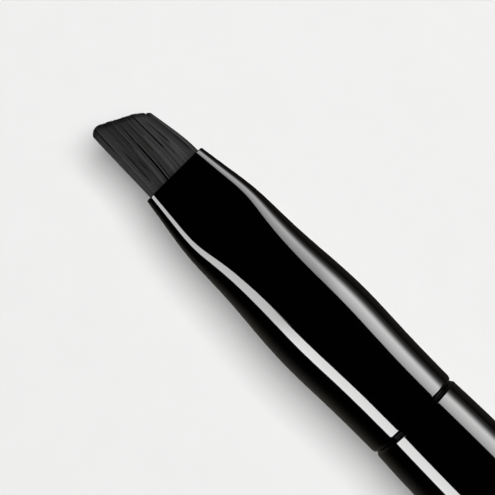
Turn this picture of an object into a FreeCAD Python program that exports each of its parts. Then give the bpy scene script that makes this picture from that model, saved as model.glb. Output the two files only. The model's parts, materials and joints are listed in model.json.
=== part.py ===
"""Angled fine detail brush: lacquered wooden handle, pressed ferrule and slanted filament tuft.

Every piece is drawn along the brush's own axis: +X runs from the handle to the tip of the tuft,
x = 0 is the mouth of the ferrule, and Y is the wide direction of the flattened front. The finished
pieces then get one common Placement, which lays the brush on its taper on the plane z = 0 with the
origin under the middle of its length. Lengths are millimetres.
"""

import FreeCAD, Part
import math
import os

import Sketcher

doc = FreeCAD.newDocument("DetailBrush")

# ---------------------------------------------------------------- driving dimensions

SIZES = {
    # ferrule: distance behind the mouth, half width and half thickness of each outer section
    "mouth_back": 0.0, "mouth_width": 2.51, "mouth_thick": 1.11,
    "throat_back": 1.0, "throat_width": 2.66, "throat_thick": 1.22,
    "pressed_back": 2.2, "pressed_width": 2.85, "pressed_thick": 1.37,
    "crease_back": 4.4, "crease_width": 3.15, "crease_thick": 1.70,
    "flare_back": 6.5, "flare_width": 3.24, "flare_thick": 2.31,
    "neck_back": 8.8, "neck_width": 3.335, "neck_thick": 2.80,
    "swell_back": 11.2, "swell_width": 3.52, "swell_thick": 3.20,
    "crown_back": 13.9, "crown_width": 3.655, "crown_thick": 3.46,
    "collar_back": 17.8, "collar_width": 3.56, "collar_thick": 3.52,
    "sleeve_back": 20.1, "sleeve_width": 3.51, "sleeve_thick": 3.50,
    "rim_back": 22.2, "rim_width": 3.50, "rim_thick": 3.49,
    "ferrule_wall": 0.28,
    "lip_round": 0.08,
    # handle
    "tenon_radius": 3.0,
    "tenon_length": 8.2,
    "tenon_chamfer": 0.4,
    "shoulder_radius": 3.46,
    "shoulder_round": 0.40,
    "belly_radius": 3.65,
    "belly_front": 29.0,
    "belly_rear": 41.0,
    "taper_bend": 11.0,
    "tail_back": 165.0,
    "tail_radius": 2.0,
    "lacquer_film": 0.18,
    # free tuft: base section is the mouth's bore less tuft_fit; toe is the long side, towards +Y
    "tuft_fit": 0.06,
    "flex_ahead": 0.35,
    "middle_ahead": 3.1, "middle_width": 1.98, "middle_thick": 0.64, "middle_shift": 0.17,
    "tip_ahead": 6.3, "tip_width": 1.72, "tip_thick": 0.30, "tip_shift": 0.36,
    "cut_ahead": 5.15,
    "cut_angle": 27.0,
    "toe_side": 2.16,
    "toe_round": 0.6,
    # pieces inside the ferrule, as distances behind the mouth
    "root_gap": 0.05,
    "waist_back": 5.4,
    "root_back": 8.0,
    "tied_width": 2.45,
    "tied_thick": 1.32,
    "tie_back": 5.8,
    "thread_radius": 0.12,
    "thread_pitch": 0.28,
    "thread_lift": 0.01,
    "resin_front": 7.3,
    "resin_back": 10.8,
}
STATIONS = (
    "mouth", "throat", "pressed", "crease", "flare", "neck", "swell", "crown", "collar",
    "sleeve", "rim",
)
THREAD_TURNS = 4
# Angle between the pressing direction and the point where the broad arc meets the side arc.
JUNCTION = math.radians(12.0)
HALF_TAN = math.tan(JUNCTION / 2)


def sizes_sheet():
    """The spreadsheet that holds every driving dimension as a plain number with an alias."""
    sheet = doc.addObject("Spreadsheet::Sheet", "Sizes")
    for row, (alias, value) in enumerate(SIZES.items(), start=1):
        sheet.set(f"A{row}", alias)
        sheet.set(f"B{row}", str(value))
        sheet.setAlias(f"B{row}", alias)
    doc.recompute()
    return sheet


SHEET = sizes_sheet()


def size(alias):
    """The number that the sheet holds for an alias."""
    return float(getattr(SHEET, alias))


# ---------------------------------------------------------------- sketch helpers

ORIGIN = -1  # Sketcher's geometry index of the horizontal axis and the origin point
VERTICAL = -2
START, END, CENTRE = 1, 2, 3


def new_body(name):
    return doc.addObject("PartDesign::Body", name)


def plane_of(body, role):
    """One of the body's own origin planes or axes, found by its role."""
    return next(f for f in body.Origin.OriginFeatures if f.Role == role)


def new_sketch(body, name, role, offset=None):
    """A sketch on one of its body's own planes; offset is an expression for its distance from it."""
    sketch = body.newObject("Sketcher::SketchObject", name)
    sketch.AttachmentSupport = [(plane_of(body, role), "")]
    sketch.MapMode = "FlatFace"
    if offset:
        sketch.setExpression("AttachmentOffset.Base.z", offset)
    return sketch


def dimension(sketch, kind, *place, name, value, formula):
    """A named dimension: value places it, and formula binds it to the sheet."""
    index = sketch.addConstraint(Sketcher.Constraint(kind, *place, value))
    sketch.renameConstraint(index, name)
    sketch.setExpression(f"Constraints.{name}", formula)


def rule(sketch, kind, *place):
    sketch.addConstraint(Sketcher.Constraint(kind, *place))


def arc(centre, radius, start, end):
    """An arc of a circle in the sketch plane, counter-clockwise between two angles in radians."""
    circle = Part.Circle(FreeCAD.Vector(*centre, 0), FreeCAD.Vector(0, 0, 1), radius)
    return Part.ArcOfCircle(circle, start, end)


def line(start, end):
    return Part.LineSegment(FreeCAD.Vector(*start, 0), FreeCAD.Vector(*end, 0))


def oval_values(half_width, half_thick):
    """Centres, radii and junction point of a four-arc oval of that size."""
    side = (half_thick - HALF_TAN * half_width) / (1 - HALF_TAN)
    side_centre = half_width - side
    broad = side_centre / math.sin(JUNCTION) + side
    return {
        "side": side,
        "side_centre": side_centre,
        "broad": broad,
        "broad_drop": broad - half_thick,
        "join_y": side_centre + side * math.sin(JUNCTION),
        "join_z": side * math.cos(JUNCTION),
    }


def oval_formulas(width, thick):
    """The same values as expressions in the half width and half thickness given as expressions."""
    half_tan = f"tan({math.degrees(JUNCTION)}deg / 2)"
    sine = f"sin({math.degrees(JUNCTION)}deg)"
    cosine = f"cos({math.degrees(JUNCTION)}deg)"
    side = f"((({thick}) - {half_tan} * ({width})) / (1 - {half_tan}))"
    side_centre = f"(({width}) - {side})"
    return {
        "side_centre": side_centre,
        "broad_drop": f"({side_centre} / {sine} + {side} - ({thick}))",
        "join_y": f"({side_centre} + {side} * {sine})",
        "join_z": f"({side} * {cosine})",
    }


def oval_sketch(body, name, offset, width, thick, values):
    """A closed four-arc oval across the axis. width and thick are expressions, values their numbers."""
    sketch = new_sketch(body, name, "YZ_Plane", offset)
    v = oval_values(*values)
    f = oval_formulas(width, thick)
    low, high = -math.pi / 2 + JUNCTION, math.pi / 2 - JUNCTION
    right = sketch.addGeometry(arc((v["side_centre"], 0), v["side"], low, high))
    top = sketch.addGeometry(arc((0, -v["broad_drop"]), v["broad"], high, math.pi - high))
    left = sketch.addGeometry(
        arc((-v["side_centre"], 0), v["side"], math.pi + low, math.pi + high)
    )
    bottom = sketch.addGeometry(
        arc((0, v["broad_drop"]), v["broad"], math.pi + high, 2 * math.pi - high)
    )
    rule(sketch, "PointOnObject", right, CENTRE, ORIGIN)
    dimension(
        sketch, "DistanceX", ORIGIN, 1, right, CENTRE,
        name="side_centre", value=v["side_centre"], formula=f["side_centre"],
    )
    dimension(
        sketch, "DistanceX", ORIGIN, 1, right, END,
        name="join_y", value=v["join_y"], formula=f["join_y"],
    )
    dimension(
        sketch, "DistanceY", ORIGIN, 1, right, END,
        name="join_z", value=v["join_z"], formula=f["join_z"],
    )
    rule(sketch, "Vertical", right, START, right, END)
    rule(sketch, "Symmetric", right, CENTRE, left, CENTRE, VERTICAL)
    rule(sketch, "Symmetric", right, END, left, START, VERTICAL)
    rule(sketch, "Vertical", left, START, left, END)
    for first, second in ((right, top), (top, left), (left, bottom), (bottom, right)):
        rule(sketch, "Coincident", first, END, second, START)
    dimension(
        sketch, "DistanceY", top, CENTRE, ORIGIN, 1,
        name="top_drop", value=v["broad_drop"], formula=f["broad_drop"],
    )
    dimension(
        sketch, "DistanceY", ORIGIN, 1, bottom, CENTRE,
        name="bottom_drop", value=v["broad_drop"], formula=f["broad_drop"],
    )
    return sketch


def half_oval_sketch(body, name, offset, width, thick, values):
    """The upper half of the same oval, closed along the wide axis, for turning about that axis."""
    sketch = new_sketch(body, name, "YZ_Plane", offset)
    v = oval_values(*values)
    f = oval_formulas(width, thick)
    high = math.pi / 2 - JUNCTION
    right = sketch.addGeometry(arc((v["side_centre"], 0), v["side"], 0, high))
    top = sketch.addGeometry(arc((0, -v["broad_drop"]), v["broad"], high, math.pi - high))
    left = sketch.addGeometry(
        arc((-v["side_centre"], 0), v["side"], math.pi - high, math.pi)
    )
    base = sketch.addGeometry(line((-values[0], 0), (values[0], 0)))
    rule(sketch, "PointOnObject", right, CENTRE, ORIGIN)
    dimension(
        sketch, "DistanceX", ORIGIN, 1, right, CENTRE,
        name="side_centre", value=v["side_centre"], formula=f["side_centre"],
    )
    dimension(
        sketch, "DistanceX", ORIGIN, 1, right, END,
        name="join_y", value=v["join_y"], formula=f["join_y"],
    )
    dimension(
        sketch, "DistanceY", ORIGIN, 1, right, END,
        name="join_z", value=v["join_z"], formula=f["join_z"],
    )
    rule(sketch, "PointOnObject", right, START, ORIGIN)
    rule(sketch, "Symmetric", right, CENTRE, left, CENTRE, VERTICAL)
    rule(sketch, "Symmetric", right, END, left, START, VERTICAL)
    rule(sketch, "PointOnObject", left, END, ORIGIN)
    for first, second in ((right, top), (top, left), (left, base), (base, right)):
        rule(sketch, "Coincident", first, END, second, START)
    dimension(
        sketch, "DistanceY", top, CENTRE, ORIGIN, 1,
        name="top_drop", value=v["broad_drop"], formula=f["broad_drop"],
    )
    return sketch


def checked(obj):
    """Recomputes, and stops if the object failed or its shape is empty or invalid."""
    doc.recompute()
    if "Invalid" in obj.State or "Error" in obj.State:
        raise RuntimeError(f"{obj.Name} failed: {obj.State}")
    if obj.Shape.isNull() or not obj.Shape.isValid():
        raise RuntimeError(f"{obj.Name} has no valid shape")
    return obj


def boolean(kind, name, base, tool):
    made = doc.addObject(f"Part::{kind}", name)
    made.Base, made.Tool = base, tool
    return checked(made)


def slab(name, back, front):
    """A box across the whole brush between two distances behind the mouth, given as expressions."""
    box = doc.addObject("Part::Box", name)
    reach = "2 * Sizes.belly_radius"
    box.setExpression("Length", f"({back}) - ({front})")
    box.setExpression("Width", reach)
    box.setExpression("Height", reach)
    box.setExpression("Placement.Base.x", f"-({back})")
    box.setExpression("Placement.Base.y", "-Sizes.belly_radius")
    box.setExpression("Placement.Base.z", "-Sizes.belly_radius")
    return checked(box)


# ---------------------------------------------------------------- ferrule


def ferrule_loft(name, inset):
    """A solid through every ferrule station, its ovals drawn in by the expression inset."""
    body = new_body(name)
    taken_in = size("ferrule_wall") if inset else 0.0
    sections = [
        oval_sketch(
            body,
            f"{name}_{station}",
            f"-Sizes.{station}_back",
            f"Sizes.{station}_width{inset}",
            f"Sizes.{station}_thick{inset}",
            (size(f"{station}_width") - taken_in, size(f"{station}_thick") - taken_in),
        )
        for station in STATIONS
    ]
    loft = body.newObject("PartDesign::AdditiveLoft", f"{name}_loft")
    loft.Profile = sections[0]
    loft.Sections = sections[1:]
    checked(loft)
    return body, loft


def edges_at(shape, x):
    """Names of the edges that lie wholly in the plane across the axis at x."""
    near = 1e-4
    return [
        f"Edge{i}"
        for i, edge in enumerate(shape.Edges, start=1)
        if all(abs(v.X - x) < near for v in edge.Vertexes)
        and abs(edge.CenterOfMass.x - x) < near
    ]


def make_cavity():
    return ferrule_loft("ferrule_cavity", " - Sizes.ferrule_wall")[0]


def make_ferrule(cavity):
    """The seamless tube: pressed flat at the mouth, round at the rim, both outer edges broken."""
    body, loft = ferrule_loft("ferrule_outside", "")
    lip = body.newObject("PartDesign::Fillet", "ferrule_lip")
    ends = edges_at(loft.Shape, 0.0) + edges_at(loft.Shape, -size("rim_back"))
    lip.Base = (loft, ends)
    lip.setExpression("Radius", "Sizes.lip_round")
    checked(lip)
    return boolean("Cut", "ferrule", body, cavity)


# ---------------------------------------------------------------- handle


def taper_angle(film=0.0):
    """Angle of the handle's straight taper, tangent to the bend behind the belly and to the tail."""
    belly, tail = size("belly_radius") - film, size("tail_radius") - film
    bend_end = size("belly_rear") + size("taper_bend")
    angle = 0.0
    for _ in range(30):
        drop = belly - size("taper_bend") * math.tan(angle / 2) - tail * math.cos(angle)
        run = size("tail_back") + tail * math.sin(angle) - bend_end
        angle = math.atan(drop / run)
    return angle


def handle_sketch(body, name, film, with_tenon):
    """Half of the handle's outline, film inside the finished surface, closed along the axis."""
    sketch = new_sketch(body, name, "XY_Plane")
    inset = " - Sizes.lacquer_film" if film else ""
    shoulder_x = -size("rim_back") - film
    shoulder = size("shoulder_radius") - film
    belly, tail = size("belly_radius") - film, size("tail_radius") - film
    front, rear = -size("belly_front"), -size("belly_rear")
    bend, tail_x = size("taper_bend"), -size("tail_back")
    angle = taper_angle(film)
    up = math.pi / 2
    bend_radius = bend / math.sin(angle)
    swell_run, swell_rise = shoulder_x - front, belly - shoulder
    swell_radius = (swell_run**2 + swell_rise**2) / (2 * swell_rise)
    swell_angle = math.asin(swell_run / swell_radius)
    first_x, first_z = (shoulder_x, 0.0)
    outline = []
    if with_tenon:
        tenon, tenon_x = size("tenon_radius"), size("tenon_length") - size("rim_back")
        outline.append(sketch.addGeometry(line((tenon_x, 0), (tenon_x, tenon))))
        outline.append(sketch.addGeometry(line((tenon_x, tenon), (shoulder_x, tenon))))
        first_x, first_z = shoulder_x, tenon
    face = sketch.addGeometry(line((first_x, first_z), (shoulder_x, shoulder)))
    swell = sketch.addGeometry(
        arc((front, belly - swell_radius), swell_radius, up - swell_angle, up)
    )
    barrel = sketch.addGeometry(line((front, belly), (rear, belly)))
    bent = sketch.addGeometry(arc((rear, belly - bend_radius), bend_radius, up, up + angle))
    taper = sketch.addGeometry(
        line(
            (rear - bend, belly - bend * math.tan(angle / 2)),
            (tail_x - tail * math.sin(angle), tail * math.cos(angle)),
        )
    )
    dome = sketch.addGeometry(arc((tail_x, 0), tail, up + angle, math.pi))
    axis_start = sketch.getPoint(outline[0] if with_tenon else face, START)
    axis = sketch.addGeometry(line((tail_x - tail, 0), (axis_start.x, 0)))

    first = outline[0] if with_tenon else face
    rule(sketch, "PointOnObject", first, START, ORIGIN)
    rule(sketch, "Vertical", first)
    if with_tenon:
        nose, side = outline
        rule(sketch, "Horizontal", side)
        rule(sketch, "Vertical", face)
        rule(sketch, "Coincident", nose, END, side, START)
        rule(sketch, "Coincident", side, END, face, START)
        dimension(
            sketch, "DistanceX", nose, START, ORIGIN, 1,
            name="tenon_front", value=-tenon_x,
            formula="Sizes.rim_back - Sizes.tenon_length",
        )
        dimension(
            sketch, "DistanceY", ORIGIN, 1, side, START,
            name="tenon_radius", value=tenon, formula="Sizes.tenon_radius",
        )
    rule(sketch, "Coincident", face, END, swell, START)
    rule(sketch, "Tangent", swell, END, barrel, START)
    rule(sketch, "Horizontal", barrel)
    rule(sketch, "Tangent", barrel, END, bent, START)
    rule(sketch, "Tangent", bent, END, taper, START)
    rule(sketch, "Tangent", taper, END, dome, START)
    rule(sketch, "PointOnObject", dome, CENTRE, ORIGIN)
    rule(sketch, "PointOnObject", dome, END, ORIGIN)
    rule(sketch, "Coincident", dome, END, axis, START)
    rule(sketch, "Coincident", axis, END, first, START)
    dimension(
        sketch, "DistanceX", face, END, ORIGIN, 1,
        name="shoulder_back", value=-shoulder_x,
        formula="Sizes.rim_back" + (" + Sizes.lacquer_film" if film else ""),
    )
    dimension(
        sketch, "DistanceY", ORIGIN, 1, face, END,
        name="shoulder_radius", value=shoulder, formula="Sizes.shoulder_radius" + inset,
    )
    dimension(
        sketch, "DistanceX", barrel, START, ORIGIN, 1,
        name="belly_front", value=-front, formula="Sizes.belly_front",
    )
    dimension(
        sketch, "DistanceY", ORIGIN, 1, barrel, START,
        name="belly_radius", value=belly, formula="Sizes.belly_radius" + inset,
    )
    dimension(
        sketch, "DistanceX", barrel, END, ORIGIN, 1,
        name="belly_rear", value=-rear, formula="Sizes.belly_rear",
    )
    dimension(
        sketch, "DistanceX", bent, END, ORIGIN, 1,
        name="bend_rear", value=bend - rear, formula="Sizes.belly_rear + Sizes.taper_bend",
    )
    dimension(
        sketch, "DistanceX", dome, CENTRE, ORIGIN, 1,
        name="tail_back", value=-tail_x, formula="Sizes.tail_back",
    )
    dimension(
        sketch, "Radius", dome,
        name="tail_radius", value=tail, formula="Sizes.tail_radius" + inset,
    )
    return sketch


def turned_handle(name, film, with_tenon):
    """The outline turned about the axis, with its shoulder edge rounded."""
    body = new_body(name)
    sketch = handle_sketch(body, f"{name}_outline", film, with_tenon)
    turned = body.newObject("PartDesign::Revolution", f"{name}_turned")
    turned.Profile = sketch
    turned.ReferenceAxis = (sketch, ["H_Axis"])
    turned.Angle = 360.0
    checked(turned)
    shoulder_x = -size("rim_back") - film
    outer = max(
        edges_at(turned.Shape, shoulder_x),
        key=lambda edge: turned.Shape.getElement(edge).Length,
    )
    rounded = body.newObject("PartDesign::Fillet", f"{name}_shoulder")
    rounded.Base = (turned, [outer])
    inset = " - Sizes.lacquer_film" if film else ""
    rounded.setExpression("Radius", "Sizes.shoulder_round" + inset)
    checked(rounded)
    return body, rounded


def make_handle_core():
    """The turned wooden core: tenon, shoulder, belly, straight taper and domed tail."""
    body, rounded = turned_handle("handle_core", size("lacquer_film"), with_tenon=True)
    nose = body.newObject("PartDesign::Chamfer", "tenon_chamfer")
    tenon_x = size("tenon_length") - size("rim_back")
    nose.Base = (rounded, edges_at(rounded.Shape, tenon_x))
    nose.setExpression("Size", "Sizes.tenon_chamfer")
    checked(nose)
    return body


def make_lacquer(core):
    """The coat of lacquer: the finished handle's shape less the wooden core inside it."""
    blank, _ = turned_handle("handle_blank", 0.0, with_tenon=False)
    return boolean("Cut", "handle_lacquer", blank, core)


def make_tenon_glue(cavity, core):
    """The glue that fills the space between the tenon and the ferrule."""
    stretch = slab("glue_slab", "Sizes.rim_back", "Sizes.rim_back - Sizes.tenon_length")
    filled = boolean("Common", "glue_filled", cavity, stretch)
    return boolean("Cut", "tenon_glue", filled, core)


# ---------------------------------------------------------------- tuft and its root


def root_front():
    """Expression for the depth behind the mouth where the fixed root ends and the free tuft begins."""
    knuckle = "Sizes.mouth_thick - Sizes.ferrule_wall - Sizes.tuft_fit"
    return f"{knuckle} + Sizes.root_gap - Sizes.flex_ahead"


def make_tied_core():
    """The filament ends behind the resin line, drawn in by the thread to a straight oval bundle."""
    body = new_body("tied_core")
    sketch = oval_sketch(
        body, "tied_oval", "-Sizes.root_back", "Sizes.tied_width", "Sizes.tied_thick",
        (size("tied_width"), size("tied_thick")),
    )
    pad = body.newObject("PartDesign::Pad", "tied_pad")
    pad.Profile = sketch
    pad.setExpression("Length", "Sizes.root_back - Sizes.waist_back")
    checked(pad)
    return body


def make_tuft_root(cavity, tied):
    """The root of the tuft: it fills the ferrule behind the mouth, then narrows where it is tied."""
    stretch = slab("root_slab", "Sizes.waist_back", root_front())
    filling = boolean("Common", "root_filling", cavity, stretch)
    root = doc.addObject("Part::MultiFuse", "tuft_root")
    root.Shapes = [filling, tied]
    return checked(root)


def make_resin(cavity, tied):
    """The plug of set resin that holds the filament ends in the ferrule."""
    stretch = slab("resin_slab", "Sizes.resin_back", "Sizes.resin_front")
    filled = boolean("Common", "resin_filled", cavity, stretch)
    return boolean("Cut", "resin_plug", filled, tied)


def make_thread():
    """The tie: THREAD_TURNS turns of thread wound as one strand round the tied bundle."""
    clear = size("thread_radius") + size("thread_lift")
    v = oval_values(size("tied_width") + clear, size("tied_thick") + clear)
    steps = 48
    points = []
    for i in range(steps * THREAD_TURNS + 1):
        turn = 2 * math.pi * i / steps
        y, z = oval_point(v, turn)
        x = -size("tie_back") - size("thread_pitch") * turn / (2 * math.pi)
        points.append(FreeCAD.Vector(x, y, z))
    strand = Part.BSplineCurve()
    strand.interpolate(points)
    path = Part.Wire([strand.toShape()])
    section = Part.Wire(
        [Part.Circle(points[0], strand.tangent(0)[0], size("thread_radius")).toShape()]
    )
    thread = doc.addObject("Part::Feature", "root_tie_thread")
    thread.Shape = path.makePipeShell([section], True, False)
    return checked(thread)


def oval_point(v, normal):
    """The point of a four-arc oval whose outward normal makes that angle with +Y."""
    fold = abs(math.remainder(normal, math.pi))
    side_arc = fold < math.pi / 2 - JUNCTION
    radius = v["side"] if side_arc else v["broad"]
    y, z = radius * math.cos(normal), radius * math.sin(normal)
    if side_arc:
        return y + math.copysign(v["side_centre"], math.cos(normal)), z
    return y, z - math.copysign(v["broad_drop"], math.sin(normal))


def make_tuft():
    """The free tuft: an oval wedge cut on the slant, on a rounded root that turns inside the mouth."""
    body = new_body("tuft")
    width = "Sizes.mouth_width - Sizes.ferrule_wall - Sizes.tuft_fit"
    thick = "Sizes.mouth_thick - Sizes.ferrule_wall - Sizes.tuft_fit"
    taken_in = size("ferrule_wall") + size("tuft_fit")
    base = (size("mouth_width") - taken_in, size("mouth_thick") - taken_in)
    heel = oval_sketch(body, "tuft_base", "Sizes.flex_ahead", width, thick, base)
    sections = [heel]
    for part in ("middle", "tip"):
        section = oval_sketch(
            body, f"tuft_{part}", f"Sizes.{part}_ahead", f"Sizes.{part}_width",
            f"Sizes.{part}_thick", (size(f"{part}_width"), size(f"{part}_thick")),
        )
        section.setExpression("AttachmentOffset.Base.x", f"Sizes.{part}_shift")
        sections.append(section)
    loft = body.newObject("PartDesign::AdditiveLoft", "tuft_loft")
    loft.Profile = sections[0]
    loft.Sections = sections[1:]
    checked(loft)
    half = half_oval_sketch(body, "tuft_half", "Sizes.flex_ahead", width, thick, base)
    knuckle = body.newObject("PartDesign::Revolution", "tuft_knuckle")
    knuckle.Profile = half
    knuckle.ReferenceAxis = (half, ["H_Axis"])
    knuckle.Angle = 180.0
    knuckle.Reversed = True
    checked(knuckle)
    slant = body.newObject("PartDesign::Pocket", "tuft_slant")
    slant.Profile = slant_sketch(body)
    slant.Type = "ThroughAll"
    slant.Midplane = True
    checked(slant)
    return body


def slant_sketch(body):
    """Everything ahead of the slanted cut, with the tuft's long corner left rounded."""
    sketch = new_sketch(body, "slant_cut", "XY_Plane")
    angle, radius = math.radians(size("cut_angle")), size("toe_round")
    reach, far = size("belly_radius"), size("tip_ahead")
    centre_y = size("toe_side") - radius
    centre_x = size("cut_ahead") + centre_y * math.tan(angle) - radius / math.cos(angle)
    cut_start = (size("cut_ahead") - reach * math.tan(angle), -reach)
    cut_end = (
        centre_x + radius * math.cos(angle), centre_y - radius * math.sin(angle)
    )
    corner = (centre_x, size("toe_side"))
    cut = sketch.addGeometry(line(cut_start, cut_end))
    toe = sketch.addGeometry(arc((centre_x, centre_y), radius, -angle, math.pi / 2))
    rear = sketch.addGeometry(line(corner, (centre_x, reach)))
    toe_side = sketch.addGeometry(line((centre_x, reach), (far, reach)))
    front = sketch.addGeometry(line((far, reach), (far, -reach)))
    heel_side = sketch.addGeometry(line((far, -reach), cut_start))
    rule(sketch, "Tangent", cut, END, toe, START)
    rule(sketch, "Coincident", toe, END, rear, START)
    for first, second in ((rear, toe_side), (toe_side, front), (front, heel_side), (heel_side, cut)):
        rule(sketch, "Coincident", first, END, second, START)
    rule(sketch, "Vertical", rear)
    for along in (toe_side, heel_side):
        rule(sketch, "Horizontal", along)
    rule(sketch, "Vertical", toe, CENTRE, toe, END)
    rule(sketch, "Symmetric", front, START, front, END, ORIGIN)
    dimension(
        sketch, "Radius", toe, name="toe_round", value=radius, formula="Sizes.toe_round",
    )
    dimension(
        sketch, "DistanceY", ORIGIN, 1, toe, END,
        name="toe_side", value=corner[1], formula="Sizes.toe_side",
    )
    dimension(
        sketch, "DistanceX", ORIGIN, 1, front, START,
        name="front", value=far, formula="Sizes.tip_ahead",
    )
    dimension(
        sketch, "DistanceY", ORIGIN, 1, front, START,
        name="reach", value=reach, formula="Sizes.belly_radius",
    )
    slope = "tan(Sizes.cut_angle * 1deg)"
    dimension(
        sketch, "DistanceX", ORIGIN, 1, cut, START,
        name="cut_start", value=cut_start[0],
        formula=f"Sizes.cut_ahead - Sizes.belly_radius * {slope}",
    )
    dimension(
        sketch, "DistanceX", ORIGIN, 1, toe, CENTRE,
        name="toe_centre", value=centre_x,
        formula=f"Sizes.cut_ahead + (Sizes.toe_side - Sizes.toe_round) * {slope}"
        " - Sizes.toe_round / cos(Sizes.cut_angle * 1deg)",
    )
    return sketch


# ---------------------------------------------------------------- assembly and output


def lying_placement(tuft):
    """Lays the brush on its straight taper on z = 0, with the origin under the middle of its length."""
    angle = taper_angle()
    bend_end = size("belly_rear") + size("taper_bend")
    taper_start = size("belly_radius") - size("taper_bend") * math.tan(angle / 2)
    lift = bend_end * math.sin(angle) + taper_start * math.cos(angle)
    turn = FreeCAD.Rotation(FreeCAD.Vector(0, 1, 0), -math.degrees(angle))
    level = tuft.Shape.copy()
    level.Placement = FreeCAD.Placement(FreeCAD.Vector(), turn)
    front = level.optimalBoundingBox(False, False).XMax
    back = -size("tail_back") * math.cos(angle) - size("tail_radius")
    return FreeCAD.Placement(FreeCAD.Vector(-(front + back) / 2, 0, lift), turn)


def main():
    cavity = make_cavity()
    core = make_handle_core()
    tied = make_tied_core()
    tuft = make_tuft()
    pieces = {
        "handle_core": core,
        "handle_lacquer": make_lacquer(core),
        "ferrule": make_ferrule(cavity),
        "tenon_glue": make_tenon_glue(cavity, core),
        "resin_plug": make_resin(cavity, tied),
        "root_tie_thread": make_thread(),
        "tuft_root": make_tuft_root(cavity, tied),
        "tuft": tuft,
    }
    lying = lying_placement(tuft)
    os.makedirs("parts", exist_ok=True)
    for label, piece in pieces.items():
        piece.Label = label
        checked(piece)
    for label, piece in pieces.items():
        piece.Placement = lying.multiply(piece.Placement)
        shape = piece.Shape
        print(label, len(shape.Solids), "solids,", round(shape.Volume, 3), "mm3")
        shape.exportStep(f"parts/{label}.step")
    print("placement", lying, "taper", math.degrees(taper_angle()))


main()
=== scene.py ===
"""Looks of the angled detail brush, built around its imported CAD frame.

The pieces are drawn in millimetres in the brush's own axes: x runs ahead of the ferrule's mouth
towards the tuft's tip, y towards the tuft's long corner and z off the broad face. placed() takes
them to the row frame in metres, with the axis and the mouth read from the frame.
"""

import json
import math

import bmesh
import bpy
import numpy as np
from mathutils import Matrix, Vector


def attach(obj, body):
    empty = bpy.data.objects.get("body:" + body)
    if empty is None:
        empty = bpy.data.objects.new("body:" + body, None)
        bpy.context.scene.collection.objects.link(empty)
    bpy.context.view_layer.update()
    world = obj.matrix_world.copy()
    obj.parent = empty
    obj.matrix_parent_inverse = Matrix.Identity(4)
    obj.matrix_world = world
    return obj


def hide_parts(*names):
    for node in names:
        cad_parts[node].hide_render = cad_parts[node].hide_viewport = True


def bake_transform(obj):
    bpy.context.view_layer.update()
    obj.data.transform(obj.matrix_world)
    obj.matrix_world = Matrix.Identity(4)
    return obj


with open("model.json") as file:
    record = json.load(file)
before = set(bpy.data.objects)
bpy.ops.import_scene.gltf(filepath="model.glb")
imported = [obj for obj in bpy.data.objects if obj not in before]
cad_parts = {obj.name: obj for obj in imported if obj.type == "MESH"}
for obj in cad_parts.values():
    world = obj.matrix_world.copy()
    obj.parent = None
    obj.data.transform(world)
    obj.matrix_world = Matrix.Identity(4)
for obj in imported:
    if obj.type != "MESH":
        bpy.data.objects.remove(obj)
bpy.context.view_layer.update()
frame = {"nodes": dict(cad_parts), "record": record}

# ---------------------------------------------------------------- places and sizes

MM = 0.001
JUNCTION = math.radians(12.0)  # where a ferrule section's broad arc meets its side arc
HALF_TAN = math.tan(JUNCTION / 2)

GRIP = next(m for m in frame["record"]["mounts"] if m["name"] == "grip_barrel")
FORWARD = -Vector(GRIP["axis"]).normalized()
ACROSS = Vector((0, 1, 0))
UP = FORWARD.cross(ACROSS)


def reach(node):
    """(rearmost, foremost) of a CAD node along the axis, in metres from the grip's centre."""
    centre = Vector(GRIP["pos_m"])
    ahead = [(v.co - centre).dot(FORWARD) for v in frame["nodes"][node].data.vertices]
    return min(ahead), max(ahead)


FERRULE_REAR, FERRULE_FRONT = reach("ferrule")
MOUTH = Vector(GRIP["pos_m"]) + FORWARD * FERRULE_FRONT
RIM = (FERRULE_REAR - FERRULE_FRONT) / MM
TAIL = (reach("handle_lacquer")[0] - FERRULE_FRONT) / MM
BELLY_RADIUS = GRIP["dims"]["r_mm"]
BELLY_FRONT = -FERRULE_FRONT / MM + GRIP["dims"]["length_mm"] / 2
BELLY_REAR = BELLY_FRONT - GRIP["dims"]["length_mm"]

# handle
SHOULDER_RADIUS = 3.46
SHOULDER_BEVEL = (0.30, 0.22)  # along the handle and across it
BEVEL_EDGE = 0.04  # rounding of the bevel's two edges
TENON_RADIUS = 3.0
TAPER_BEND = 11.0
TAIL_RADIUS = 2.0
FILM = 0.18
SKIN = 0.005  # how far the outer rings stay within the CAD's facets

# ferrule: (distance behind the mouth, half width, half thickness) of its outer sections
SECTIONS = (
    (0.0, 2.51, 1.11),
    (1.0, 2.66, 1.22),
    (2.2, 2.85, 1.37),
    (4.4, 3.15, 1.70),
    (6.5, 3.24, 2.31),
    (8.8, 3.335, 2.80),
    (11.2, 3.52, 3.20),
    (13.9, 3.655, 3.46),
    (17.8, 3.56, 3.52),
    (20.1, 3.51, 3.50),
    (-RIM, 3.50, 3.49),
)
WALL = 0.28
LIP = 0.07  # rounding of the lip at the mouth and of the rim's inner edge
RIM_CHAMFER = (0.19, 0.07)  # along the tube and across its wall


def placed(points):
    """Points in the brush's axes, in millimetres, taken to the row frame in metres."""
    axes = np.array([FORWARD, ACROSS, UP])
    return np.array(MOUTH) + (np.asarray(points, float) * MM) @ axes


def mesh_piece(name, points, faces, material, body=None):
    """A mesh piece from points in the brush's axes, riding on a body if one is named."""
    mesh = bpy.data.meshes.new(name)
    mesh.from_pydata(placed(points).tolist(), [], faces)
    shape = bmesh.new()
    shape.from_mesh(mesh)
    bmesh.ops.recalc_face_normals(shape, faces=shape.faces)
    shape.to_mesh(mesh)
    shape.free()
    mesh.shade_smooth()
    mesh.materials.append(material)
    piece = bpy.data.objects.new(name, mesh)
    bpy.context.scene.collection.objects.link(piece)
    if body:
        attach(piece, body)
    return piece


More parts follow.
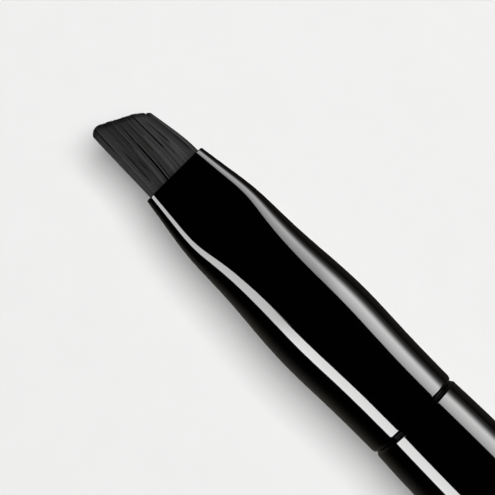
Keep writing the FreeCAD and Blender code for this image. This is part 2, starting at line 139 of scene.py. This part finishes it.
# ---------------------------------------------------------------- materials


def set_stops(ramp, stops):
    """Gives a colour ramp node its (position, colour) stops."""
    elements = ramp.color_ramp.elements
    while len(elements) < len(stops):
        elements.new(0.5)
    for element, (position, colour) in zip(elements, stops):
        element.position = position
        element.color = (*colour, 1.0)


class Nodes:
    """A material's node tree, with a short way to add and link nodes."""

    def __init__(self, name):
        self.material = bpy.data.materials.new(name)
        self.material.use_nodes = True
        self.tree = self.material.node_tree
        self.shader = self.tree.nodes["Principled BSDF"]

    def add(self, kind, inputs=None, **settings):
        node = self.tree.nodes.new(kind)
        for key, value in settings.items():
            setattr(node, key, value)
        for key, value in (inputs or {}).items():
            if isinstance(value, bpy.types.NodeSocket):
                self.tree.links.new(value, node.inputs[key])
            else:
                node.inputs[key].default_value = value
        return node

    def set(self, **inputs):
        """Sets or links the shader's sockets, with underscores for the spaces in their names."""
        for key, value in inputs.items():
            socket = self.shader.inputs[key.replace("_", " ")]
            if isinstance(value, bpy.types.NodeSocket):
                self.tree.links.new(value, socket)
            else:
                socket.default_value = value

    def coordinates(self, scale=(1, 1, 1)):
        """Object coordinates in millimetres along the brush's own axes, stretched by scale."""
        place = self.add("ShaderNodeTexCoord").outputs["Object"]
        turn = Matrix((FORWARD, ACROSS, UP)).to_euler()
        mapping = self.add("ShaderNodeMapping", {"Vector": place})
        mapping.inputs["Rotation"].default_value = turn
        mapping.inputs["Scale"].default_value = [s / MM for s in scale]
        return mapping.outputs["Vector"]

    def noise(self, scale, detail=3.0, stretch=(1, 1, 1), roughness=0.5):
        """A noise value with scale features to the millimetre."""
        return self.add(
            "ShaderNodeTexNoise",
            {
                "Vector": self.coordinates(stretch),
                "Scale": scale,
                "Detail": detail,
                "Roughness": roughness,
            },
        ).outputs["Fac"]

    def ramp(self, factor, *stops):
        """A colour ramp through (position, colour) stops."""
        ramp = self.add("ShaderNodeValToRGB", {"Fac": factor})
        set_stops(ramp, stops)
        return ramp.outputs["Color"]

    def range(self, value, low, high):
        """A value from 0 to 1 taken to the range low to high."""
        return self.add(
            "ShaderNodeMapRange", {"Value": value, "To Min": low, "To Max": high}
        ).outputs["Result"]

    def bump(self, height, distance_mm):
        return self.add(
            "ShaderNodeBump", {"Height": height, "Distance": distance_mm * MM}
        ).outputs["Normal"]


def gloss_black(name, ripple_mm, ripple_scale, rough):
    """A deep black gloss coat, with faint ripples and specks of dust haze."""
    nodes = Nodes(name)
    tone = nodes.ramp(
        nodes.noise(2.0, detail=4), (0.3, (0.0003, 0.0003, 0.0003)), (0.8, (0.0009, 0.0008, 0.0007))
    )
    haze = nodes.range(nodes.noise(1.1, detail=5, roughness=0.7), *rough)
    nodes.set(
        Base_Color=tone,
        Roughness=haze,
        IOR=1.5,
        Normal=nodes.bump(nodes.noise(ripple_scale, detail=2), ripple_mm),
    )
    return nodes.material


def filament_material(name, tone=None):
    """Dark dyed nylon: each filament's tone is its own with painted shade in it, or all have the one
    given.
    """
    nodes = Nodes(name)
    if tone is None:
        tone = nodes.add("ShaderNodeAttribute", attribute_name="tone").outputs["Fac"]
    streak = nodes.noise(9.0, detail=3, stretch=(0.05, 1, 1))
    mixed = nodes.add(
        "ShaderNodeMath", {0: tone, 1: nodes.range(streak, -0.12, 0.12)}, operation="ADD"
    ).outputs["Value"]
    colour = nodes.ramp(
        mixed,
        (0.0, (0.0005, 0.0005, 0.0005)),
        (0.3, (0.009, 0.0082, 0.0078)),
        (0.6, (0.033, 0.0318, 0.0318)),
        (1.0, (0.085, 0.083, 0.083)),
    )
    nodes.set(Base_Color=colour, Roughness=0.5, IOR=1.53, Specular_IOR_Level=0.15)
    return nodes.material


def wood_material():
    """Pale turned hardwood with grain along the handle and fine turning lines round it."""
    nodes = Nodes("bare_wood")
    grain = nodes.noise(1.6, detail=6, stretch=(0.06, 1, 1))
    turning = nodes.noise(14.0, detail=2, stretch=(1, 0.05, 0.05))
    nodes.set(
        Base_Color=nodes.ramp(
            grain, (0.3, (0.42, 0.27, 0.15)), (0.55, (0.62, 0.44, 0.27)), (0.75, (0.70, 0.53, 0.35))
        ),
        Roughness=nodes.range(grain, 0.5, 0.75),
        Normal=nodes.bump(turning, 0.01),
    )
    return nodes.material


def set_glue(name, dark, pale, rough):
    """Set glue or resin: uneven in colour, slightly wavy, half clear."""
    nodes = Nodes(name)
    clouds = nodes.noise(1.3, detail=4)
    nodes.set(
        Base_Color=nodes.ramp(clouds, (0.3, dark), (0.7, pale)),
        Roughness=nodes.range(clouds, *rough),
        Subsurface_Weight=0.2,
        Normal=nodes.bump(clouds, 0.02),
    )
    nodes.shader.inputs["Subsurface Radius"].default_value = (0.5 * MM, 0.3 * MM, 0.1 * MM)
    return nodes.material


def thread_material():
    """Off-white twisted thread."""
    nodes = Nodes("thread")
    twist = nodes.add(
        "ShaderNodeTexWave",
        {"Vector": nodes.coordinates(), "Scale": 3.0, "Distortion": 1.5, "Detail": 2.0},
        bands_direction="DIAGONAL",
    ).outputs["Fac"]
    nodes.set(
        Base_Color=nodes.ramp(twist, (0.2, (0.55, 0.52, 0.46)), (0.8, (0.78, 0.75, 0.69))),
        Roughness=0.85,
        Sheen_Weight=0.3,
        Normal=nodes.bump(twist, 0.02),
    )
    return nodes.material


# ---------------------------------------------------------------- turned and lofted meshes


def ring_faces(rings, count, closed):
    """Quads between consecutive rings of count points; closed joins the last ring to the first."""
    faces = []
    for i in range(rings if closed else rings - 1):
        here, there = i * count, ((i + 1) % rings) * count
        for j in range(count):
            k = (j + 1) % count
            faces.append((here + j, there + j, there + k, here + k))
    return faces


def arc_points(centre, radius, start, end, count):
    """Points on an arc in the x, r plane, from one angle to another in radians."""
    angles = np.linspace(start, end, count)
    return [
        (centre[0] + radius * math.cos(a), centre[1] + radius * math.sin(a)) for a in angles
    ]


def taper_angle(film):
    """Angle of the straight taper, tangent to the bend behind the belly and to the tail's dome."""
    belly, tail = BELLY_RADIUS - film, TAIL_RADIUS - film
    bend_end, tail_centre = BELLY_REAR - TAPER_BEND, TAIL + TAIL_RADIUS
    angle = 0.0
    for _ in range(30):
        drop = belly - TAPER_BEND * math.tan(angle / 2) - tail * math.cos(angle)
        angle = math.atan(drop / (bend_end - tail_centre - tail * math.sin(angle)))
    return angle


def handle_outline(film):
    """The handle's outline as (x, r) points from the tenon round the shoulder to the tail.

    film is how far it lies inside the lacquer. The second value is where it meets the axis.
    """
    face_x = RIM - film
    shoulder, belly, tail = (r - film for r in (SHOULDER_RADIUS, BELLY_RADIUS, TAIL_RADIUS))
    run, rise = face_x - BELLY_FRONT, belly - shoulder
    swell = (run**2 + rise**2) / (2 * rise)
    quarter = math.pi / 2
    angle = taper_angle(film)
    bend = TAPER_BEND / math.sin(angle)
    length, drop = SHOULDER_BEVEL
    lean = math.atan2(length, drop)  # from the axis to the bevel's outward normal
    top_x = face_x - BEVEL_EDGE - length
    inner_swell = swell - BEVEL_EDGE
    start = math.acos((top_x - BELLY_FRONT) / inner_swell)
    top_r = belly - swell + inner_swell * math.sin(start)
    points = [(face_x, TENON_RADIUS)]
    points += arc_points((face_x - BEVEL_EDGE, top_r - drop), BEVEL_EDGE, 0.0, lean, 8)
    points += arc_points((top_x, top_r), BEVEL_EDGE, lean, start, 16)
    points += arc_points((BELLY_FRONT, belly - swell), swell, start, quarter, 100)[1:]
    points += [(x, belly) for x in np.linspace(BELLY_FRONT, BELLY_REAR, 12)[1:]]
    points += arc_points((BELLY_REAR, belly - bend), bend, quarter, quarter + angle, 24)[1:]
    taper_end = TAIL + TAIL_RADIUS - tail * math.sin(angle)
    start_x, start_r = points[-1]
    points += [
        (start_x + t * (taper_end - start_x), start_r + t * (tail * math.cos(angle) - start_r))
        for t in np.linspace(0, 1, 90)[1:]
    ]
    points += arc_points((TAIL + TAIL_RADIUS, 0.0), tail, quarter + angle, math.pi, 24)[1:-1]
    return points, TAIL + TAIL_RADIUS - tail


def turned_shell(outer, outer_pole, inner, inner_pole, count=128):
    """Points and faces of a turned shell closed at its tail, from outlines that start at its mouth."""
    outline = list(reversed(outer)) + inner
    turn = np.linspace(0, 2 * math.pi, count, endpoint=False)
    points = [(x, r * math.cos(a), r * math.sin(a)) for x, r in outline for a in turn]
    faces = ring_faces(len(outline), count, closed=False)
    for ring, pole in ((0, outer_pole), (len(outline) - 1, inner_pole)):
        tip = len(points)
        points.append((pole, 0.0, 0.0))
        first = ring * count
        fan = [(tip, first + j, first + (j + 1) % count) for j in range(count)]
        faces += fan if ring == 0 else [face[::-1] for face in fan]
    return points, faces


def make_handle(material):
    """The lacquer as a turned shell with a smooth outside, in place of the CAD's coat."""
    points, faces = turned_shell(*handle_outline(SKIN), *handle_outline(FILM))
    handle = mesh_piece("handle_gloss_coat", points, faces, material, "handle")
    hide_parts("handle_lacquer")


def spline(xs, ys):
    """A natural cubic spline through the points, as a function of x."""
    xs, ys = np.asarray(xs, float), np.asarray(ys, float)
    steps, count = np.diff(xs), len(xs)
    system, target = np.eye(count), np.zeros(count)
    for i in range(1, count - 1):
        system[i, i - 1 : i + 2] = steps[i - 1], 2 * (steps[i - 1] + steps[i]), steps[i]
        target[i] = 6 * (
            (ys[i + 1] - ys[i]) / steps[i] - (ys[i] - ys[i - 1]) / steps[i - 1]
        )
    bends = np.linalg.solve(system, target)

    def value(x):
        i = int(np.clip(np.searchsorted(xs, x) - 1, 0, count - 2))
        step, left, right = steps[i], xs[i + 1] - x, x - xs[i]
        return (
            (bends[i] * left**3 + bends[i + 1] * right**3) / (6 * step)
            + (ys[i] / step - bends[i] * step / 6) * left
            + (ys[i + 1] / step - bends[i + 1] * step / 6) * right
        )

    return value


half_width = spline([s[0] for s in SECTIONS], [s[1] for s in SECTIONS])
half_thick = spline([s[0] for s in SECTIONS], [s[2] for s in SECTIONS])


def oval_normals(side=44, broad=18):
    """Directions of the outward normal round a section, closer together where it curves more."""
    low, high = -math.pi / 2 + JUNCTION, math.pi / 2 - JUNCTION
    angles = []
    for turn in (0.0, math.pi):
        angles += list(turn + np.linspace(low, high, side, endpoint=False))
        angles += list(turn + np.linspace(high, math.pi + low, broad, endpoint=False))
    return angles


def oval_point(width, thick, normal):
    """The point of a four-arc oval whose outward normal makes that angle with +y."""
    side = (thick - HALF_TAN * width) / (1 - HALF_TAN)
    centre = width - side
    cosine, sine = math.cos(normal), math.sin(normal)
    if abs(sine) <= math.cos(JUNCTION) + 1e-9:
        return side * cosine + math.copysign(centre, cosine), side * sine
    broad = centre / math.sin(JUNCTION) + side
    return broad * cosine, broad * sine - math.copysign(broad - thick, sine)


def make_ferrule(material):
    """The tube as rings: along the outside, round the rear edge, up the bore and round the lip."""
    run, drop = RIM_CHAMFER
    stops = np.concatenate(
        [np.linspace(LIP, 0.4, 6)[:-1], np.linspace(0.4, -RIM - run, 170)]
    )
    rings = [(-back, 0.0) for back in stops]
    rings += [(RIM + run - t * run, t * drop) for t in (0.06, 0.5, 0.94)]
    edge = [(math.sin(a), math.cos(a)) for a in np.linspace(0, math.pi / 2, 7)]
    rings += [(RIM, drop + 0.02), (RIM, WALL - LIP - 0.02)]
    rings += [(RIM + LIP - LIP * s, WALL - LIP + LIP * c) for s, c in reversed(edge)]
    rings += [(-back, WALL) for back in reversed(stops) if -back > RIM + run + 0.05]
    front = [(-LIP + LIP * s, LIP - LIP * c) for s, c in edge[1:]]
    rings += [(x, WALL - inset) for x, inset in front] + list(reversed(front))
    normals = oval_normals()
    points = []
    for x, inset in rings:
        inset += SKIN
        width, thick = half_width(-x) - inset, half_thick(-x) - inset
        points += [(x, *oval_point(width, thick, a)) for a in normals]
    faces = ring_faces(len(rings), len(normals), closed=True)
    ferrule = mesh_piece("ferrule_tube", points, faces, material, "handle")
    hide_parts("ferrule")


# ---------------------------------------------------------------- filaments

FILAMENT_RADIUS = 0.036
FILAMENT_PITCH = 0.072
FILAMENT_SIDES = 6
FILAMENT_STEPS = 13
SHELL_PITCH = 0.9 * FILAMENT_PITCH
LOCKS = 13  # bundles that draw together slightly towards the cut
STRANDS = 60  # narrower bundles that share a tone
DRAW_TOGETHER = 0.03
SEED = 7
EDGE_SPREAD = 0.035  # how unevenly the locks divide the width, as a share of half of it
LOCK_CUT, ROUGH_CUT = 0.02, 0.03  # how unevenly locks and single filaments are cut
FACE_CUT = 0.08  # how much shorter the filaments on the broad faces end
SWAY, STRAY_SWAY = 0.008, 0.04
STRAY_SHARE = 0.08  # of the filaments that sway sideways more than the rest
LIFT = 0.012
CREASE = 0.45  # how much of its depth the tuft loses in the deepest parting
TONE, SINGLE_TONE, STRAND_TONE, LOCK_TONE = 0.56, 0.16, 0.1, 0.04  # the middle and three spreads
# how much darker the painted shade makes the filaments at the tuft's two sides
SIDE_SHADE = 0.3
CUT_AHEAD = 5.15  # where the slanted cut crosses the axis
CUT_ANGLE = math.radians(27.0)
TOE_SIDE = 2.11
TOE_ROUND = 0.64
NOTCHES = ((-1.46, 0.045, 0.16), (-1.02, 0.03, 0.07), (0.55, 0.03, 0.05))  # y, half width, depth
HEEL_FROM = -0.55  # where the cut starts to round off towards the short corner
HEEL_DROP = 0.27  # how much shorter that leaves a filament for each square millimetre past it

TUFT_STATIONS = (-0.42, 0.35, 3.1, 6.3)
tuft_width = spline(TUFT_STATIONS, (2.20, 2.20, 2.00, 1.73))
tuft_thick = spline(TUFT_STATIONS, (0.79, 0.77, 0.62, 0.28))
tuft_shift = spline(TUFT_STATIONS, (-0.01, -0.02, 0.13, 0.34))

# partings between locks on the broad faces, along the filaments: side as a share of the half
# width at the root, where each starts and ends ahead of the mouth, half width as a share, depth
PARTINGS = (
    (0.25, -0.4, 3.1, 0.027, 1.0),
    (0.16, -0.4, 1.2, 0.022, 1.0),
    (0.25, 3.2, 5.6, 0.024, 0.85),
    (-0.275, 1.8, 5.0, 0.027, 1.0),
    (-0.53, 1.6, 3.7, 0.025, 1.0),
    (-0.56, 4.0, 5.0, 0.024, 0.8),
    (0.68, 0.7, 3.3, 0.022, 0.85),
    (0.42, 2.9, 5.6, 0.022, 0.85),
    (0.05, 2.0, 4.5, 0.016, 0.75),
    (-0.84, 0.3, 3.6, 0.024, 0.8),
    (0.84, 3.5, 5.8, 0.020, 0.7),
    (-0.08, 3.2, 5.2, 0.016, 0.7),
    (0.55, 1.0, 2.4, 0.014, 0.7),
    (-0.42, 0.8, 2.2, 0.014, 0.6),
)
SKEW = 0.055  # how fast the filaments draw over to the short corner, per mm


def cut_length(y):
    """How far ahead of the mouth the slanted cut leaves a filament at y, both corners rounded."""
    slant = CUT_AHEAD + y * math.tan(CUT_ANGLE)
    for middle, half, depth in NOTCHES:
        slant -= depth * math.exp(-(((y - middle) / half) ** 2))
    if y < HEEL_FROM:
        return slant - HEEL_DROP * (y - HEEL_FROM) ** 2
    centre_y = TOE_SIDE - TOE_ROUND
    centre_x = CUT_AHEAD + centre_y * math.tan(CUT_ANGLE) - TOE_ROUND / math.cos(CUT_ANGLE)
    if y <= centre_y - TOE_ROUND * math.sin(CUT_ANGLE):
        return slant
    return centre_x + math.sqrt(max(TOE_ROUND**2 - (y - centre_y) ** 2, 0.0))


def filament_roots(rng):
    """Where the filaments leave the root, as shares of the tuft's half width and thickness.

    They stand in shells, one inside the other, so that the outermost follows the tuft's outline.
    """
    width, thick = tuft_width(TUFT_STATIONS[0]), tuft_thick(TUFT_STATIONS[0])
    roots = []
    inset = FILAMENT_RADIUS
    while thick - inset > HALF_TAN * (width - inset) + FILAMENT_RADIUS:
        dense = [oval_point(width - inset, thick - inset, a) for a in oval_normals(160, 160)]
        outline = np.array(dense + dense[:1])
        runs = np.concatenate([[0], np.cumsum(np.hypot(*np.diff(outline, axis=0).T))])
        count = int(runs[-1] / FILAMENT_PITCH)
        stops = (np.arange(count) + rng.uniform(-0.2, 0.2, count) + rng.random()) / count
        for stop in stops % 1.0 * runs[-1]:
            y, z = (np.interp(stop, runs, outline[:, axis]) for axis in (0, 1))
            roots.append((y / width, z / thick))
        inset += SHELL_PITCH
    return roots


def across(side, x):
    """Where the filament of that side lies across the tuft, x ahead of the mouth."""
    drawn = side - SKEW * max(x, 0.0) * (1 - side**2)
    return tuft_shift(x) + drawn * tuft_width(x)


def cut_end(side):
    """How far ahead of the mouth the filament of that side ends."""
    length = CUT_AHEAD
    for _ in range(6):
        length = (length + cut_length(across(side, length))) / 2
    return length


def parting_depth(side, x):
    """How deep the partings are at a place on the broad face, from 0 to 1."""
    deepest = 0.0
    for middle, start, end, half, depth in PARTINGS:
        if start < x < end:
            ease = min(1.0, 3 * min(x - start, end - x))
            off = (side - middle) / half
            deepest = max(deepest, depth * ease * math.exp(-(off**4)))
    return deepest


def make_filaments(material):
    """The tuft as closed six-sided filaments, each with its own length, sway and tone, the tone
    darkened by painted shade.
    """
    rng = np.random.default_rng(SEED)
    edges = np.linspace(-1, 1, LOCKS + 1)
    edges[1:-1] += rng.normal(0, EDGE_SPREAD, LOCKS - 1)
    lock_tone = rng.normal(0, LOCK_TONE, LOCKS)
    lock_length = rng.normal(0, LOCK_CUT, LOCKS)
    strand_tone = rng.normal(0, STRAND_TONE, STRANDS)
    points, faces, tones_with_painted_shade = [], [], []
    turns = np.linspace(0, 2 * math.pi, FILAMENT_SIDES, endpoint=False)
    sleeve = ring_faces(FILAMENT_STEPS, FILAMENT_SIDES, closed=False)
    for side, level in filament_roots(rng):
        lock = int(np.clip(np.searchsorted(edges, side) - 1, 0, LOCKS - 1))
        middle = (edges[lock] + edges[lock + 1]) / 2
        length = cut_end(side) - FACE_CUT * level**2 - abs(rng.normal(0, ROUGH_CUT))
        length += lock_length[lock] * (1 - abs(side))
        sway = rng.normal(0, STRAY_SWAY if rng.random() < STRAY_SHARE else SWAY)
        lift = rng.normal(0, LIFT)
        spin = rng.uniform(0, math.pi)
        strand = strand_tone[int((side + 1) / 2 * STRANDS) % STRANDS]
        tone = np.clip(TONE + lock_tone[lock] + strand + rng.normal(0, SINGLE_TONE), 0.05, 1.0)
        # painted shade: the filaments at the tuft's two sides are darker
        tone *= 1 - SIDE_SHADE * abs(side) ** 5
        first = len(points)
        for t in np.linspace(0, 1, FILAMENT_STEPS):
            x = TUFT_STATIONS[0] + t * (length - TUFT_STATIONS[0])
            gathered = side + (middle - side) * DRAW_TOGETHER * t**2 * (1 - side**6)
            free = (1 - side**8) * t
            y = across(gathered, x) + free * sway * t
            sunk = parting_depth(side, x)
            z = level * tuft_thick(x) * (1 - CREASE * sunk * abs(level))
            z += lift * t * free * (1 - abs(level))
            radius = FILAMENT_RADIUS * (1 + 0.2 * t) * (1 - 0.4 * t**8)
            points += [
                (x, y + radius * math.cos(a + spin), z + radius * math.sin(a + spin))
                for a in turns
            ]
            # painted shade: the tone is darker just ahead of the mouth, towards the tips and in the
            # partings
            painted_shading = min(1.0, 0.75 + 0.5 * max(x, 0.0)) * (1.1 - 0.34 * t)
            tones_with_painted_shade += [tone * painted_shading * (1 - sunk)] * FILAMENT_SIDES
        faces += [tuple(first + i for i in face) for face in sleeve]
        last = first + (FILAMENT_STEPS - 1) * FILAMENT_SIDES
        faces.append(tuple(first + j for j in range(FILAMENT_SIDES)))
        faces.append(tuple(last + j for j in reversed(range(FILAMENT_SIDES))))
    tuft = mesh_piece("tuft_filaments", points, faces, material)
    # the tone attribute holds each filament's own tone times its painted shade
    attribute = tuft.data.attributes.new("tone", "FLOAT", "POINT")
    attribute.data.foreach_set("value", tones_with_painted_shade)
    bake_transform(tuft)
    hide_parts("tuft")


# ---------------------------------------------------------------- carried-over CAD nodes


def dress(node, material):
    """Gives a CAD node that stays its own material."""
    mesh = frame["nodes"][node].data
    mesh.materials.clear()
    mesh.materials.append(material)


# ---------------------------------------------------------------- camera, floor and lights

VIEW_WIDTH = 32.44  # what the camera takes in, level with the brush's axis
VIEW_BACK = 6.79
VIEW_ACROSS = -0.043
VIEW_TURN = math.radians(45.3)
LENS = 200.0
SENSOR = 36.0
FLOOR_HALF = 4.0  # in metres


def make_camera():
    """Straight above the brush's front, turned so that the tip points to the upper left."""
    data = bpy.data.cameras.new("camera")
    data.lens, data.sensor_width = LENS, SENSOR
    data.dof.use_dof = False
    camera = bpy.data.objects.new("camera", data)
    right = Vector((-math.cos(VIEW_TURN), -math.sin(VIEW_TURN), 0))
    up = Vector((math.sin(VIEW_TURN), -math.cos(VIEW_TURN), 0))
    level = Matrix((right, up, Vector((0, 0, 1)))).transposed().to_4x4()
    aim = Vector(placed([(-VIEW_BACK, VIEW_ACROSS, 0)])[0])
    distance = VIEW_WIDTH * MM * LENS / SENSOR
    camera.matrix_world = Matrix.Translation(aim + Vector((0, 0, distance))) @ level
    data.clip_start, data.clip_end = 0.01, 20.0
    bpy.context.scene.collection.objects.link(camera)
    bpy.context.scene.camera = camera


def make_floor():
    """A pale matt floor at z = 0."""
    nodes = Nodes("floor")
    grain = nodes.noise(0.5, detail=3)
    nodes.set(
        Base_Color=nodes.ramp(grain, (0.3, (0.80, 0.80, 0.795)), (0.7, (0.81, 0.81, 0.805))),
        Roughness=0.9,
        Specular_IOR_Level=0.0,
    )
    mesh = bpy.data.meshes.new("floor")
    corners = [(x * FLOOR_HALF, y * FLOOR_HALF, 0) for x, y in ((-1, -1), (1, -1), (1, 1), (-1, 1))]
    mesh.from_pydata(corners, [], [(0, 1, 2, 3)])
    mesh.materials.append(nodes.material)
    floor = bpy.data.objects.new("floor", mesh)
    bpy.context.scene.collection.objects.link(floor)
    floor.visible_glossy = False
    return floor


def area_light(name, tilt, turn, distance, size, radiance, shift=0.0, colour=(1, 1, 1)):
    """An area light aimed at the ferrule: tilt is its angle from overhead, towards turn from +y.

    shift slides it along the brush; size is its length along the brush and its width.
    """
    data = bpy.data.lights.new(name, "AREA")
    data.shape = "RECTANGLE"
    data.size, data.size_y = size
    data.energy = radiance * math.pi * size[0] * size[1]
    data.color = colour
    light = bpy.data.objects.new(name, data)
    side = Vector((math.sin(turn), math.cos(turn), 0))
    out = side * math.sin(tilt) + Vector((0, 0, math.cos(tilt)))
    length_axis = Vector((math.cos(turn), -math.sin(turn), 0))
    rotation = Matrix((length_axis, out.cross(length_axis), out)).transposed().to_4x4()
    aim = Vector(placed([(RIM / 2, 0, 0)])[0]) + Vector((shift, 0, 0))
    light.matrix_world = Matrix.Translation(aim + out * distance) @ rotation
    light.visible_camera = False
    bpy.context.scene.collection.objects.link(light)
    return light


STRIP_AWAY = 0.7


def strip(name, side, tilts, reach, radiance, colour, across, along):
    """A strip along the brush that only the gloss shows.

    Its mirror image lies between two tilts of the surface, in degrees, and its ends at two
    tangents ahead of the ferrule's middle. across lists (position, strength) from its upper edge
    to its lower one, and along from its rear end to its front one.
    """
    low, high = (math.radians(2 * tilt) for tilt in tilts)
    width = 2 * STRIP_AWAY * math.tan((high - low) / 2)
    length = STRIP_AWAY * (reach[1] - reach[0])
    shift = STRIP_AWAY * (reach[0] + reach[1]) / 2
    turn = 0.0 if side > 0 else math.pi
    light = area_light(
        name, (low + high) / 2, turn, STRIP_AWAY, (length, width), radiance, shift, colour
    )
    light.visible_diffuse = False
    if side < 0:
        along = [(1 - position, strength) for position, strength in reversed(along)]
    light.data.use_nodes = True
    nodes, links = light.data.node_tree.nodes, light.data.node_tree.links
    split = nodes.new("ShaderNodeSeparateXYZ")
    links.new(nodes.new("ShaderNodeNewGeometry").outputs["Parametric"], split.inputs[0])
    product = nodes.new("ShaderNodeVectorMath")
    product.operation = "MULTIPLY"
    for slot, (coordinate, stops) in enumerate((("X", along), ("Y", across))):
        ramp = nodes.new("ShaderNodeValToRGB")
        links.new(split.outputs[coordinate], ramp.inputs["Fac"])
        set_stops(ramp, [(position, (strength,) * 3) for position, strength in stops])
        links.new(ramp.outputs["Color"], product.inputs[slot])
    links.new(product.outputs["Vector"], nodes["Emission"].inputs["Color"])


def make_lights(floor):
    """Strips for the gloss, a soft key from above and a shadowless fill for the floor alone."""
    even = ((0.0, 0.96), (1.0, 1.0))
    rising = ((0, 0.62), (0.22, 0.83), (0.42, 0.96), (0.51, 1))
    fading = rising + ((0.60, 0.62), (0.70, 0.20), (0.82, 0.03), (1, 0.01))
    easing = ((0.0, 0.0), (0.19, 1.0), (1.0, 1.0))
    ahead_dimmer = ((0.0, 1.0), (0.37, 1.0), (0.47, 0.69), (1.0, 0.69))
    long_side, short_side = (1.0, 0.995, 0.99), (1.0, 1.0, 0.995)
    strip("long_side", 1, (23.5, 35.4), (-0.4, 0.75), 17.8, long_side, even, ahead_dimmer)
    strip("long_side_front", 1, (22.2, 23.5), (0.1, 0.75), 12.2, long_side, even, easing)
    strip("short_side", -1, (30.8, 58.0), (-0.4, 0.75), 11.3, short_side, fading, ahead_dimmer)
    key = area_light("key", math.radians(17), math.radians(176), 0.8, (0.44, 0.44), 8.36)
    key.visible_glossy = False
    fill = bpy.data.objects.new("fill", bpy.data.lights.new("fill", "SUN"))
    fill.data.energy = 1.21
    fill.data.angle = 0.0
    fill.data.use_shadow = False
    fill.visible_glossy = False
    bpy.context.scene.collection.objects.link(fill)
    floor_only = bpy.data.collections.new("floor_only")
    floor_only.objects.link(floor)
    fill.light_linking.receiver_collection = floor_only


def make_world():
    """Pale to the camera; to the gloss dark above, with dim warm ground below."""
    world = bpy.data.worlds.new("studio")
    bpy.context.scene.world = world
    world.use_nodes = True
    nodes, links = world.node_tree.nodes, world.node_tree.links
    background = nodes["Background"]
    split = nodes.new("ShaderNodeSeparateXYZ")
    links.new(nodes.new("ShaderNodeTexCoord").outputs["Generated"], split.inputs[0])

    def mapped(value, start, end, low, high):
        node = nodes.new("ShaderNodeMapRange")
        node.interpolation_type = "SMOOTHSTEP"
        links.new(value, node.inputs["Value"])
        for key, number in zip(("From Min", "From Max", "To Min", "To Max"), (start, end, low, high)):
            node.inputs[key].default_value = number
        return node.outputs["Result"]

    def mixed(factor, a, b):
        node = nodes.new("ShaderNodeMix")
        node.data_type = "RGBA"
        links.new(factor, node.inputs["Factor"])
        for key, value in (("A", a), ("B", b)):
            if isinstance(value, tuple):
                node.inputs[key].default_value = (*value, 1)
            else:
                links.new(value, node.inputs[key])
        return node.outputs["Result"]

    ground = mixed(
        mapped(split.outputs["Y"], -0.5, 0.5, 0, 1), (0.045, 0.040, 0.036), (0.105, 0.098, 0.086)
    )
    gloss = mixed(mapped(split.outputs["Z"], -0.75, -0.12, 1, 0), (0.0003, 0.0003, 0.0003), ground)
    seen = mixed(nodes.new("ShaderNodeLightPath").outputs["Is Camera Ray"], gloss, (0.86, 0.86, 0.86))
    links.new(seen, background.inputs["Color"])


make_camera()
make_lights(make_floor())
make_world()
bpy.context.scene.view_settings.view_transform = "Standard"

make_handle(gloss_black("black_lacquer", 0.004, 0.5, (0.03, 0.06)))
make_ferrule(gloss_black("black_ferrule", 0.003, 0.8, (0.03, 0.06)))
make_filaments(filament_material("filament"))
dress("handle_core", wood_material())
dress("tenon_glue", set_glue("wood_glue", (0.62, 0.50, 0.30), (0.78, 0.68, 0.46), (0.25, 0.45)))
dress("resin_plug", set_glue("resin", (0.34, 0.17, 0.05), (0.52, 0.31, 0.12), (0.12, 0.3)))
dress("root_tie_thread", thread_material())
dress("tuft_root", filament_material("root_filament", tone=0.5))
